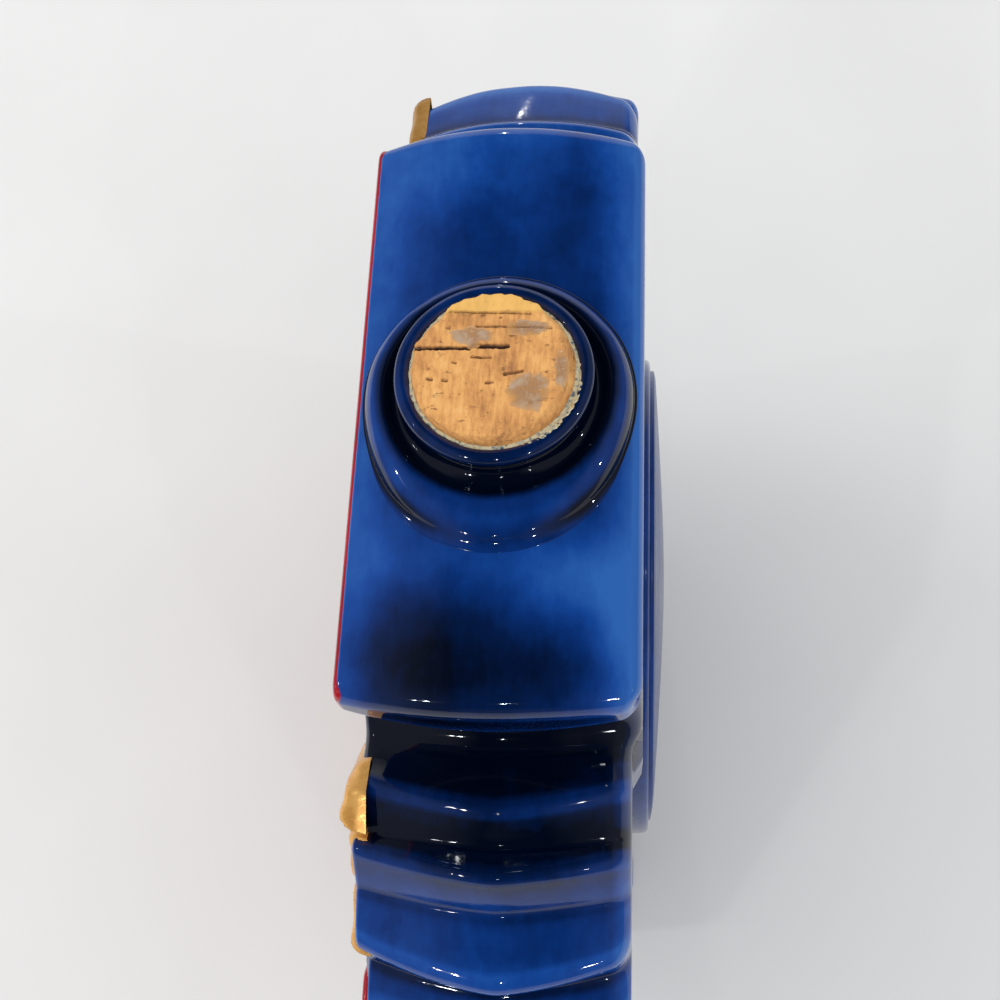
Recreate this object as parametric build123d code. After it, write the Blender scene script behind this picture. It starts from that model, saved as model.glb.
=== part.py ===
from build123d import *
import math
import os

# A flat ceramic liquor decanter in the form of a heraldic medal: four flared arms, a fan of
# three rays between each pair, a roundel on the front and a plain domed medallion on the back.
# It stands on the end of its lowest arm, and its corked neck rises from the highest one.
# Millimetres. X runs along the width, -Y is the decorated front, Z is up and z = 0 is the table.

# Cross-shaped body, measured from the centre of the medal
ARM_REACH = 94.4
SIDE_ARM_REACH = 92.0
ARM_END_HALF_WIDTH = 51.4
ARM_END_WALL = 10.7
ARM_CORNER_RADIUS = 5.0
ARM_LIP_RADIUS = 2.2
UNDERCUT_DEPTH = 5.4
UNDERCUT_DROP = 3.8
COVE_RADIUS = 6.0
RAY_TIP_RADIUS = 1.5
LAST_RAY_TIP_RADIUS = 2.8
VALLEY_RADIUS = 1.0

# Outline of one fan: the cove beside the arm, then three ray tips with the valleys between
# them, and the fan's foot. Shares of the way across from the top arm's neck to the side arm's
# end, and of the way up from the side arm's edge to the underside of the top arm's end.
FAN_SHARES = (
    (0.035, 0.596),
    (0.285, 0.751),
    (0.4, 0.607),
    (0.472, 0.67),
    (0.628, 0.393),
    (0.896, 0.295),
    (0.857, 0.077),
)
FAN_RADII = (
    COVE_RADIUS,
    RAY_TIP_RADIUS,
    VALLEY_RADIUS,
    RAY_TIP_RADIUS,
    VALLEY_RADIUS,
    LAST_RAY_TIP_RADIUS,
    VALLEY_RADIUS,
)

# Thickness, front to back
FRONT_DEPTH = 21.2
BACK_DEPTH = 22.7
CROWN = 2.5
BACK_EDGE_ROUNDING = 1.5
FAN_BACK_SET_IN = 1.6
WALL = 5.0
CAVITY_CORNER_RADIUS = 4.0

# Cork, cut off level where its stopper head broke away
CORK_RADIUS = 12.7
CORK_CLEARANCE = 0.1
CORK_PROUD = 1.9
CORK_IN_BORE = 18.0
GLUE_THICKNESS = 0.35

# Neck and mouth, with depths measured down from the rim
RIM_ABOVE_ARM = 7.45
MOUTH_BAND_WALL = 1.1
MOUTH_BAND_HEIGHT = 8.0
MOUTH_BAND_RECESS = 0.3
LIP_WALL = 1.4
LIP_HEIGHT = 2.6
LIP_EDGE = 1.0
LIP_OVERHANG = 0.8
THROAT_GROOVE = 0.9
SHOULDER_WIDTH = 9.8
SHOULDER_ABOVE_ARM = 2.15
SHOULDER_FALL = 4.6
SHOULDER_SEAT = 1.2
SPIGOT_WALL = 3.4
SPIGOT_DEPTH = 24.0

# Front decoration
PANEL_THICKNESS = 1.5
PANEL_EDGE = 0.6
PANEL_INNER_HALF_WIDTH = 19.0
PANEL_FROM_ROUNDEL = 2.4
RAY_GAP = 0.7
RAY_FROM_ROUNDEL = 3.4
RAY_EDGE_THICKNESS = 1.3
RAY_RIDGE_THICKNESS = 4.4
RAY_SETBACK = 2.4
ROUNDEL_RADIUS = 35.0
ROUNDEL_THICKNESS = 3.0
ROUNDEL_RING_WIDTH = 3.6
ROUNDEL_RING_HEIGHT = 4.7
BEAD_RADIUS = 1.1
BEAD_COUNT = 48
LEAF_COUNT = 22
LEAF_LENGTH = 9.0
LEAF_WIDTH = 4.4
LEAF_THICKNESS = 1.2
LEAF_TILT = 28.0
WREATH_INSET = 9.0
PETAL_COUNT = 8
PETAL_WIDTH = 7.6
PETAL_FROM_WREATH = 1.5
ROSETTE_THICKNESS = 1.5
ROSETTE_BOSS_RADIUS = 4.6
ROSETTE_BOSS_HEIGHT = 2.2

# Back medallion, a shallow dome inside a low ring
MEDALLION_RADIUS = 47.0
MEDALLION_HEIGHT = 4.3
MEDALLION_RING_WIDTH = 2.5
MEDALLION_RING_HEIGHT = 1.0

# Unglazed foot under the lowest arm, set in from the arm's sides and from its faces
FOOT_RING_SIDE_INSET = 9.4
FOOT_RING_FACE_INSET = 4.7
FOOT_RING_WIDTH = 5.0
FOOT_RING_HEIGHT = 1.0
FOOT_RING_RADIUS = 4.0

OVERRUN = 5.0

# Counts of the straight steps that stand for a rounded corner, and shares of a size
CORNER_STEPS = 4
CROWN_STEP_SHARES = (0.0, 0.5, 0.85, 1.0)
CORNER_ROOM_SHARE = 0.45
SHOULDER_STEP_SHARES = ((0.37, 0.0), (0.6, 0.14), (0.8, 0.36), (0.93, 0.62), (1.0, 1.0))
RIDGE_END_SHARE = 0.93
MEDALLION_STEP_SHARES = (
    (1.0, 0.0),
    (1.0, 0.25),
    (0.93, 0.4),
    (0.8, 0.6),
    (0.62, 0.79),
    (0.42, 0.92),
    (0.2, 1.0),
    (0.0, 1.0),
)
FIRST_RAY_START_SHARE = 0.5
GLUE_PATCH_SHARES = (
    (-0.385, -0.275, 0.125, 0.285),
    (-0.49, 0.395, 0.1, 0.285),
    (0.36, 0.47, 0.26, 0.27),
    (0.08, 0.835, 0.235, 0.095),
)

CENTRE_Z = FOOT_RING_HEIGHT + ARM_REACH
RIM_Z = CENTRE_Z + ARM_REACH + RIM_ABOVE_ARM
BORE_RADIUS = CORK_RADIUS + CORK_CLEARANCE
MOUTH_BAND_RADIUS = BORE_RADIUS + MOUTH_BAND_WALL
LIP_RADIUS = MOUTH_BAND_RADIUS + LIP_WALL
THROAT_RADIUS = LIP_RADIUS - LIP_OVERHANG
SHOULDER_RADIUS = THROAT_RADIUS + SHOULDER_WIDTH
SHOULDER_TOP_Z = RIM_Z - RIM_ABOVE_ARM + SHOULDER_ABOVE_ARM
SPIGOT_RADIUS = BORE_RADIUS + SPIGOT_WALL
NECK_HALF_WIDTH = ARM_END_HALF_WIDTH - UNDERCUT_DEPTH
WREATH_RADIUS = ROUNDEL_RADIUS - WREATH_INSET
PETAL_LENGTH = WREATH_RADIUS - LEAF_LENGTH - PETAL_FROM_WREATH
QUARTERS = {
    "upper_right": (1, 1),
    "lower_right": (1, -1),
    "lower_left": (-1, -1),
    "upper_left": (-1, 1),
}


def fan_edge():
    """Outline of the fan between the top arm's neck and the side arm's end, cove first."""
    underside = ARM_REACH - ARM_END_WALL - UNDERCUT_DROP
    across = SIDE_ARM_REACH - NECK_HALF_WIDTH
    up = underside - ARM_END_HALF_WIDTH
    return [
        (NECK_HALF_WIDTH + across_share * across, ARM_END_HALF_WIDTH + up_share * up)
        for across_share, up_share in FAN_SHARES
    ]


def quarter_corners():
    """Corners of the upper right quarter, from the top arm to the side arm, with their radii."""
    end_foot = ARM_REACH - ARM_END_WALL
    arm_end = [
        (ARM_END_HALF_WIDTH, ARM_REACH, ARM_CORNER_RADIUS),
        (ARM_END_HALF_WIDTH, end_foot, ARM_LIP_RADIUS),
        (NECK_HALF_WIDTH, end_foot - UNDERCUT_DROP, ARM_LIP_RADIUS),
    ]
    fan = [(x, u, radius) for (x, u), radius in zip(fan_edge(), FAN_RADII)]
    return arm_end + fan + [(SIDE_ARM_REACH, ARM_END_HALF_WIDTH, ARM_CORNER_RADIUS)]


def mirrored_all_round(quarter):
    """Repeat a quarter's points in the other three quarters, clockwise seen from the front."""
    ring = []
    for side, up in QUARTERS.values():
        points = [(side * x, up * u, radius) for x, u, radius in quarter]
        ring += points if side == up else points[::-1]
    return ring


def inset_corners(ring, inset):
    """Move every edge of a clockwise ring inwards by the same distance."""
    moved = []
    for index, (x, u, radius) in enumerate(ring):
        before = ring[index - 1]
        after = ring[(index + 1) % len(ring)]
        into = math.atan2(u - before[1], x - before[0])
        out = math.atan2(after[1] - u, after[0] - x)
        half_turn = math.remainder(out - into, math.tau) / 2
        reach = inset / math.cos(half_turn)
        direction = into + half_turn - math.pi / 2
        moved.append((x + reach * math.cos(direction), u + reach * math.sin(direction), radius))
    return moved


def rounded(ring):
    """Replace each corner by short straight steps along its arc."""
    points = []
    for index, (x, u, radius) in enumerate(ring):
        before = ring[index - 1]
        after = ring[(index + 1) % len(ring)]
        into = math.atan2(u - before[1], x - before[0])
        out = math.atan2(after[1] - u, after[0] - x)
        turn = math.remainder(out - into, math.tau)
        room = CORNER_ROOM_SHARE * min(math.dist((x, u), before[:2]), math.dist((x, u), after[:2]))
        tangent = min(radius * math.tan(abs(turn) / 2), room)
        arc_radius = tangent / math.tan(abs(turn) / 2)
        side = math.copysign(1, turn)
        start = (x - tangent * math.cos(into), u - tangent * math.sin(into))
        centre = (
            start[0] - side * arc_radius * math.sin(into),
            start[1] + side * arc_radius * math.cos(into),
        )
        for step in range(CORNER_STEPS + 1):
            angle = into + turn * step / CORNER_STEPS - side * math.pi / 2
            points.append((
                centre[0] + arc_radius * math.cos(angle),
                centre[1] + arc_radius * math.sin(angle),
            ))
    return points


def body_wire(depth_y, inset):
    """The medal's outline as a closed wire at one depth, drawn in by the crown there."""
    points = rounded(inset_corners(mirrored_all_round(quarter_corners()), inset))
    return Wire.make_polygon([Vector(x, depth_y, CENTRE_Z + u) for x, u in points], close=True)


def crowned_half(depth, facing, edge_rounding):
    """One half of the body as a full solid: widest at the mould seam, drawn in at its face."""
    wires = []
    for share in CROWN_STEP_SHARES:
        inset = CROWN * share ** 2
        if share == CROWN_STEP_SHARES[-1]:
            inset += edge_rounding
        wires.append(body_wire(facing * depth * share, inset))
    return Solid.make_loft(wires, ruled=True)


def cavity_corners():
    """The hollow's outline, which keeps at least one wall inside the body's drawn-in outline."""
    wall = WALL + CROWN / 2
    end_foot = ARM_REACH - ARM_END_WALL
    cove, _, first_valley, _, second_valley, _, _ = fan_edge()
    return [
        (ARM_END_HALF_WIDTH - wall, ARM_REACH - wall, CAVITY_CORNER_RADIUS),
        (cove[0] - wall, end_foot - wall, CAVITY_CORNER_RADIUS),
        (cove[0] - wall, cove[1] - wall, CAVITY_CORNER_RADIUS),
        (first_valley[0], first_valley[1] - 2 * wall, CAVITY_CORNER_RADIUS),
        (second_valley[0], ARM_END_HALF_WIDTH - wall, CAVITY_CORNER_RADIUS),
        (SIDE_ARM_REACH - wall, ARM_END_HALF_WIDTH - wall, CAVITY_CORNER_RADIUS),
    ]


def cavity(depth, facing):
    """The liquor space in one half, from the seam to one wall short of its face."""
    points = rounded(mirrored_all_round(cavity_corners()))
    outline = Polyline([Vector(x, 0, CENTRE_Z + u) for x, u in points], close=True)
    return extrude(make_face(outline), amount=depth - WALL, dir=(0, facing, 0))


def upright_cylinder(radius, bottom, top):
    return Pos(0, 0, (bottom + top) / 2) * Cylinder(radius, top - bottom)


def shell(depth, facing, edge_rounding):
    """One hollow half of the body with its half of the hole that the neck's spigot fills."""
    solid = crowned_half(depth, facing, edge_rounding) - cavity(depth, facing)
    return solid - upright_cylinder(SPIGOT_RADIUS, CENTRE_Z + ARM_REACH / 2, RIM_Z + OVERRUN)


def fan_recess(shape):
    """Set the back of the four fans in from the back of the arms."""
    for side, up in QUARTERS.values():
        corner = Box(
            SIDE_ARM_REACH,
            2 * FAN_BACK_SET_IN,
            ARM_REACH,
            align=(Align.MIN, Align.CENTER, Align.MIN),
        )
        placed = Pos(ARM_END_HALF_WIDTH, 0, ARM_END_HALF_WIDTH) * corner
        if side < 0:
            placed = mirror(placed, Plane.YZ)
        if up < 0:
            placed = mirror(placed, Plane.XY)
        shape -= Pos(0, BACK_DEPTH, CENTRE_Z) * placed
    return shape


def shoulder_profile():
    """Outer line of the neck from the lip down to the shoulder, as radius and height."""
    points = [
        (LIP_RADIUS - LIP_EDGE, RIM_Z),
        (LIP_RADIUS, RIM_Z - LIP_EDGE),
        (LIP_RADIUS, RIM_Z - LIP_HEIGHT),
        (THROAT_RADIUS, RIM_Z - LIP_HEIGHT - LIP_EDGE),
        (THROAT_RADIUS, SHOULDER_TOP_Z - THROAT_GROOVE),
    ]
    for out_share, fall_share in SHOULDER_STEP_SHARES:
        radius = THROAT_RADIUS + out_share * SHOULDER_WIDTH
        points.append((radius, SHOULDER_TOP_Z - fall_share * SHOULDER_FALL))
    points.append((SHOULDER_RADIUS, SHOULDER_TOP_Z - SHOULDER_FALL - SHOULDER_SEAT))
    return points


def turned(points):
    """Revolve a closed outline of radius and height about the upright axis."""
    outline = Polyline([Vector(radius, 0, height) for radius, height in points], close=True)
    return revolve(make_face(outline), axis=Axis.Z)


def neck(front, back):
    """Lip, throat and domed shoulder, with a spigot that reaches down into the body."""
    outer = shoulder_profile()
    spigot = [
        (SPIGOT_RADIUS, outer[-1][1]),
        (SPIGOT_RADIUS, RIM_Z - SPIGOT_DEPTH),
        (BORE_RADIUS, RIM_Z - SPIGOT_DEPTH),
        (BORE_RADIUS, RIM_Z - MOUTH_BAND_HEIGHT),
        (MOUTH_BAND_RADIUS, RIM_Z - MOUTH_BAND_HEIGHT),
        (MOUTH_BAND_RADIUS, RIM_Z),
    ]
    between_faces = Pos(0, 0, RIM_Z) * Box(
        2 * (SHOULDER_RADIUS + OVERRUN),
        2 * FRONT_DEPTH,
        2 * (SPIGOT_DEPTH + OVERRUN),
    )
    return (turned(outer + spigot) & between_faces) - front - back


def mouth_band():
    """Bare ceramic band inside the lip, which the cork's sides run in."""
    top = RIM_Z - MOUTH_BAND_RECESS
    bottom = RIM_Z - MOUTH_BAND_HEIGHT
    return upright_cylinder(MOUTH_BAND_RADIUS, bottom, top) - upright_cylinder(
        BORE_RADIUS, bottom - OVERRUN, top + OVERRUN
    )


def cork_plug():
    return upright_cylinder(CORK_RADIUS, RIM_Z - CORK_IN_BORE, RIM_Z + CORK_PROUD)


def glue_residue():
    """Dried glue left on the cork where the stopper's head came off."""
    patches = []
    for shares in GLUE_PATCH_SHARES:
        x, y, half_length, half_width = [share * CORK_RADIUS for share in shares]
        patch = extrude(Ellipse(half_length, half_width), amount=GLUE_THICKNESS)
        patches.append(Pos(x, y, RIM_Z + CORK_PROUD) * patch)
    return patches


def on_front(depth):
    """A drawing plane on the front, at a depth, whose local axes are X and Z."""
    return Plane(origin=(0, -depth, CENTRE_Z), x_dir=(1, 0, 0), z_dir=(0, -1, 0))


def on_back(depth):
    return Plane(origin=(0, depth, CENTRE_Z), x_dir=(-1, 0, 0), z_dir=(0, 1, 0))


def panel_corners(reach):
    """One arm's front face, pointing up, from the roundel out to the arm's drawn-in end."""
    outer = ARM_END_HALF_WIDTH - CROWN
    end = reach - CROWN
    end_foot = reach - ARM_END_WALL + CROWN / 2
    inner_reach = ROUNDEL_RADIUS + ROUNDEL_RING_WIDTH + PANEL_FROM_ROUNDEL
    right_side = [
        (outer, end, ARM_CORNER_RADIUS - CROWN / 2),
        (outer, end_foot, ARM_LIP_RADIUS),
        (NECK_HALF_WIDTH - CROWN, end_foot - UNDERCUT_DROP, ARM_LIP_RADIUS),
        (PANEL_INNER_HALF_WIDTH, inner_reach, VALLEY_RADIUS),
    ]
    return right_side + [(-x, u, radius) for x, u, radius in right_side[::-1]]


def arm_panel(angle, reach):
    """A red arm panel, its front edge eased, turned about the centre to its own arm."""
    corners = panel_corners(reach)
    lower = Polyline([Vector(x, u) for x, u in rounded(corners)], close=True)
    upper = Polyline([Vector(x, u) for x, u in rounded(inset_corners(corners, PANEL_EDGE))], close=True)
    flat = extrude(make_face(lower), amount=PANEL_THICKNESS - PANEL_EDGE)
    eased = loft([
        Pos(0, 0, PANEL_THICKNESS - PANEL_EDGE) * make_face(lower),
        Pos(0, 0, PANEL_THICKNESS) * make_face(upper),
    ], ruled=True)
    return on_front(FRONT_DEPTH) * Rot(0, 0, angle) * (flat + eased)


def along(angle, reach, aside):
    """A point at a distance from the centre along an angle, and a distance to its left."""
    return (
        reach * math.cos(angle) - aside * math.sin(angle),
        reach * math.sin(angle) + aside * math.cos(angle),
    )


def set_back(x, u):
    """Draw a point of the fan's outline back towards the centre, off the rounded edge."""
    share = 1 - RAY_SETBACK / math.hypot(x, u)
    return x * share, u * share


def ray(left_shoulder, tip, right_shoulder):
    """One ray: radial sides, a pointed tip and a roof that rises to a ridge down its middle."""
    left_angle = math.atan2(left_shoulder[1], left_shoulder[0])
    right_angle = math.atan2(right_shoulder[1], right_shoulder[0])
    inner_reach = ROUNDEL_RADIUS + ROUNDEL_RING_WIDTH + RAY_FROM_ROUNDEL
    ring = [
        along(left_angle, inner_reach, 0),
        set_back(*left_shoulder),
        set_back(*tip),
        set_back(*right_shoulder),
        along(right_angle, inner_reach, 0),
    ]
    corners = inset_corners([(x, u, 0) for x, u in ring], RAY_GAP / 2)
    base = make_face(Polyline([Vector(x, u) for x, u, _ in corners], close=True))
    bar = extrude(base, amount=RAY_EDGE_THICKNESS)
    low = [Vector(x, u, RAY_EDGE_THICKNESS) for x, u, _ in corners]
    inner_left, left, point, right, inner_right = low
    rise = Vector(0, 0, RAY_RIDGE_THICKNESS - RAY_EDGE_THICKNESS)
    inner = (inner_left + inner_right) / 2 + rise
    outer = inner + (point + rise - inner) * RIDGE_END_SHARE
    roof = [
        low,
        [inner_left, left, outer],
        [inner_left, outer, inner],
        [left, point, outer],
        [point, right, outer],
        [right, inner_right, inner],
        [right, inner, outer],
        [inner_right, inner_left, inner],
    ]
    faces = [Face(Wire.make_polygon(corner_set, close=True)) for corner_set in roof]
    return bar + Solid(Shell(faces))


def ray_fan(side, up):
    """The three gold rays of one quarter, side by side; the first starts clear of the cove."""
    edge = fan_edge()
    cove, tip = edge[:2]
    edge[0] = tuple(a + FIRST_RAY_START_SHARE * (b - a) for a, b in zip(cove, tip))
    return [
        on_front(FRONT_DEPTH) * flipped(ray(*edge[first:first + 3]), side, up)
        for first in range(0, len(edge) - 1, 2)
    ]


def flipped(shape, side, up):
    """Mirror a shape that is drawn in the upper right quarter into another quarter."""
    if side < 0:
        shape = mirror(shape, Plane.YZ)
    if up < 0:
        shape = mirror(shape, Plane.XZ)
    return shape


def roundel_disc():
    return on_front(FRONT_DEPTH) * extrude(Circle(ROUNDEL_RADIUS), amount=ROUNDEL_THICKNESS)


def roundel_ring():
    """Raised ring round the roundel, with a row of half-sunk beads along its top."""
    outline = Circle(ROUNDEL_RADIUS + ROUNDEL_RING_WIDTH) - Circle(ROUNDEL_RADIUS)
    ring = extrude(outline, amount=ROUNDEL_RING_HEIGHT)
    for index in range(BEAD_COUNT):
        x, u = along(math.tau * index / BEAD_COUNT, ROUNDEL_RADIUS + ROUNDEL_RING_WIDTH / 2, 0)
        ring += Pos(x, u, ROUNDEL_RING_HEIGHT) * Sphere(BEAD_RADIUS)
    return on_front(FRONT_DEPTH) * ring


def lens(length, width):
    """A pointed leaf outline from the origin along X, made of two equal arcs."""
    half = width / 2
    edge_up = ThreePointArc((0, 0), (length / 2, half), (length, 0))
    edge_down = ThreePointArc((length, 0), (length / 2, -half), (0, 0))
    return make_face(edge_up + edge_down)


def laurel_wreath():
    """Two rows of leaves that run round the roundel's field."""
    leaves = []
    leaf = extrude(lens(LEAF_LENGTH, LEAF_WIDTH), amount=LEAF_THICKNESS)
    for index in range(LEAF_COUNT):
        angle = math.tau * index / LEAF_COUNT
        x, u = along(angle, WREATH_RADIUS, 0)
        turn = math.degrees(angle) + 90 + (LEAF_TILT if index % 2 else -LEAF_TILT)
        face = on_front(FRONT_DEPTH + ROUNDEL_THICKNESS)
        leaves.append(face * Pos(x, u) * Rot(0, 0, turn) * leaf)
    return leaves


def rosette():
    """Eight petals round a boss."""
    petal = extrude(lens(PETAL_LENGTH, PETAL_WIDTH), amount=ROSETTE_THICKNESS)
    flower = extrude(Circle(ROSETTE_BOSS_RADIUS), amount=ROSETTE_BOSS_HEIGHT)
    for index in range(PETAL_COUNT):
        flower += Rot(0, 0, 360 * index / PETAL_COUNT) * petal
    return on_front(FRONT_DEPTH + ROUNDEL_THICKNESS) * flower


def back_medallion():
    """Plain shallow dome on the back."""
    steps = [
        (out_share * MEDALLION_RADIUS, rise_share * MEDALLION_HEIGHT)
        for out_share, rise_share in MEDALLION_STEP_SHARES
    ]
    return on_back(BACK_DEPTH) * turned([(0, 0)] + steps)


def back_medallion_ring():
    outline = Circle(MEDALLION_RADIUS + MEDALLION_RING_WIDTH) - Circle(MEDALLION_RADIUS)
    return on_back(BACK_DEPTH) * extrude(outline, amount=MEDALLION_RING_HEIGHT)


def foot_ring(front, back):
    """Bare ceramic ring that the decanter stands on, fitted to the crowned end of its arm."""
    length = 2 * (ARM_END_HALF_WIDTH - FOOT_RING_SIDE_INSET)
    depth = 2 * (FRONT_DEPTH - FOOT_RING_FACE_INSET)
    outer = RectangleRounded(length, depth, FOOT_RING_RADIUS)
    inner = Rectangle(length - 2 * FOOT_RING_WIDTH, depth - 2 * FOOT_RING_WIDTH)
    return extrude(outer - inner, amount=FOOT_RING_HEIGHT + CROWN) - front - back


def build_parts():
    front_shell = shell(FRONT_DEPTH, -1, 0)
    back_shell = fan_recess(shell(BACK_DEPTH, 1, BACK_EDGE_ROUNDING))
    parts = {
        "front_shell": front_shell,
        "back_shell": back_shell,
        "neck": neck(front_shell, back_shell),
        "mouth_band": mouth_band(),
        "cork_plug": cork_plug(),
        "glue_residue": glue_residue(),
        "arm_panel_top": arm_panel(0, ARM_REACH),
        "arm_panel_bottom": arm_panel(180, ARM_REACH),
        "arm_panel_left": arm_panel(90, SIDE_ARM_REACH),
        "arm_panel_right": arm_panel(-90, SIDE_ARM_REACH),
        "roundel_disc": roundel_disc(),
        "roundel_ring": roundel_ring(),
        "laurel_wreath": laurel_wreath(),
        "rosette": rosette(),
        "back_medallion": back_medallion(),
        "back_medallion_ring": back_medallion_ring(),
        "foot_ring": foot_ring(front_shell, back_shell),
    }
    for name, (side, up) in QUARTERS.items():
        parts["ray_fan_" + name] = ray_fan(side, up)
    return parts


def main():
    os.makedirs("parts", exist_ok=True)
    for name, shape in build_parts().items():
        solids = shape if isinstance(shape, list) else [shape]
        export_step(Compound(children=solids), os.path.join("parts", name + ".step"))


main()
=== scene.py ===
from math import atan2, copysign, cos, degrees, dist, exp, hypot, pi, radians, remainder, sin, sqrt, tan, tau
import bmesh
import bpy
from mathutils import Matrix, Vector, noise
from mathutils.geometry import delaunay_2d_cdt, tessellate_polygon


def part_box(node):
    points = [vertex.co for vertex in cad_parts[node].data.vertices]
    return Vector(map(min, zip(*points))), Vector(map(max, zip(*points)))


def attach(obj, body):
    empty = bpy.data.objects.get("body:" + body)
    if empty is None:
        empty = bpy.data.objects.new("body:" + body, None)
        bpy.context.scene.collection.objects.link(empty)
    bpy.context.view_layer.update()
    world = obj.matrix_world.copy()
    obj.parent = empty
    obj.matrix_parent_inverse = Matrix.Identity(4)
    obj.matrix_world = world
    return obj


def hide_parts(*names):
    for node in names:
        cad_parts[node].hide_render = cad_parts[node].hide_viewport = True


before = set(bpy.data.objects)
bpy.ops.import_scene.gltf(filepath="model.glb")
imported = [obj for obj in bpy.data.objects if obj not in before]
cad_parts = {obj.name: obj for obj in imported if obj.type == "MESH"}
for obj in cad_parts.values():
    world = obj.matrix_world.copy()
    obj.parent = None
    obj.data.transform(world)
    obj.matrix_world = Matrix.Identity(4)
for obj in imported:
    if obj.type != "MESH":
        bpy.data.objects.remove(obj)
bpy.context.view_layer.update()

# Lengths are millimetres in the part's own frame, and each mesh is written in metres
MM = 0.001


def box_mm(node):
    """A node's lowest and highest corner, in millimetres."""
    low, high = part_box(node)
    return low / MM, high / MM


def reach_mm(node):
    """How far a node reaches across, and how far out to the front or back."""
    low, high = box_mm(node)
    return high.x, max(-low.y, high.y)


# Sizes read from the frame
SHELL_LOW, SHELL_HIGH = box_mm("front_shell")
FRONT_DEPTH = -SHELL_LOW.y
BACK_DEPTH = box_mm("back_shell")[1].y
SIDE_ARM_REACH = SHELL_HIGH.x
ARM_REACH = (SHELL_HIGH.z - SHELL_LOW.z) / 2
CENTRE_Z = (SHELL_HIGH.z + SHELL_LOW.z) / 2
RIM_Z = box_mm("neck")[1].z
BLOCK_TOP = CENTRE_Z + ARM_REACH - RIM_Z
PANEL_FACE = reach_mm("arm_panel_top")[1]
RAY_FACE = reach_mm("ray_fan_upper_right")[1]
ROUNDEL_RADIUS, ROUNDEL_FACE = reach_mm("roundel_disc")
RING_RADIUS, RING_FACE = reach_mm("roundel_ring")
MEDALLION_RADIUS, MEDALLION_FACE = reach_mm("back_medallion")
MEDALLION_RING_RADIUS, MEDALLION_RING_FACE = reach_mm("back_medallion_ring")
ROSETTE_FACE = reach_mm("rosette")[1]
CORK_RADIUS, _, CORK_TOP_Z = box_mm("cork_plug")[1]
CORK_FOOT_Z = box_mm("cork_plug")[0].z
GLUE_TOP_Z = box_mm("glue_residue")[1].z

# Outline of the body, as the solid shells have it
ARM_HALF_WIDTH = 51.4
ARM_END_WALL = 10.7
ARM_CORNER_RADIUS = 3.4
ARM_LIP_RADIUS = 2.2
UNDERCUT_DEPTH = 5.4
UNDERCUT_DROP = 3.8
COVE_RADIUS = 6.0
TIP_RADIUS = 1.5
LAST_TIP_RADIUS = 2.8
VALLEY_RADIUS = 1.0
CROWN = 2.5
CROWN_RIDGE_ROUNDING = 0.003

# Corners of a fan of rays from the cove outwards: shares of the way across and up, radius, and
# how far the body swells there at the seam and sags at the front and back
FAN_CORNERS = (
    (0.035, 0.596, COVE_RADIUS, 0, 1.2),
    (0.285, 0.751, TIP_RADIUS, 1.6, 4.6),
    (0.4, 0.607, VALLEY_RADIUS, 1.2, 2.6),
    (0.472, 0.67, TIP_RADIUS, 2.6, 3.8),
    (0.628, 0.393, VALLEY_RADIUS, 0.3, 2.4),
    (0.896, 0.295, LAST_TIP_RADIUS, 0.2, 3.4),
    (0.857, 0.077, VALLEY_RADIUS, 0, 2.0),
)
# The share of this bow that the near and the far fans have, and how steeply it sets in
NEAR_BOW = (1.0, 1.4)
FAR_BOW = (0.45, 2.4)

# How finely the body is meshed, and how its edges and glaze are softened
CORNER_STEPS = 8
CORNER_ROOM_SHARE = 0.45
RUN_STEP = 1.4
SIDE_STEPS = 34
EDGE_STEPS = 6
GRID_STEP = 2.6
ARM_FRONT_EDGE = 0.45
FAN_FRONT_EDGE = 1.8
TIER_FRONT_EDGE = 0.7
BACK_EDGE = 2.0
FAN_BACK_EDGE = 3.2
FACE_MARGIN = 0.5
SEAM_SHARE = 0.3
SOFTENING = 3
WAVE_DEPTH = 0.3
ARM_WAVE_SHARE = 0.35
WAVE_LENGTH = 17.0
RIPPLE_DEPTH = 0.05
RIPPLE_LENGTH = 5.0
EDGE_WEAR = 0.45

# The glazed front stands a little proud of the plain solid, and more so under the two lower rays
# at the right; the back is set in behind the upper rays, and more below them
BODY_FRONT = FRONT_DEPTH + 0.9
TIER_RISE = 0.7
SIDE_FRONT_SET_IN = 0.7
RAY_BACK_SET_IN = 1.6
LOWER_BACK_SET_IN = 2.6

# Where each of these begins and is complete
TIER_START = 63.0
ON_TIER = (TIER_START, TIER_START + 4)
ON_FIRST_RAY = (ARM_HALF_WIDTH - 4, ARM_HALF_WIDTH)
OFF_FIRST_RAY = (TIER_START - 2, TIER_START + 1)
PAST_ARM = (ARM_HALF_WIDTH + 2.4, ARM_HALF_WIDTH + 4.4)
ON_SIDE_END = (80, 86)
HIGH_ON_BACK = (ARM_HALF_WIDTH - 5, ARM_HALF_WIDTH + 1)
BESIDE_ON_BACK = (ARM_HALF_WIDTH - 2, ARM_HALF_WIDTH + 1)

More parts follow.
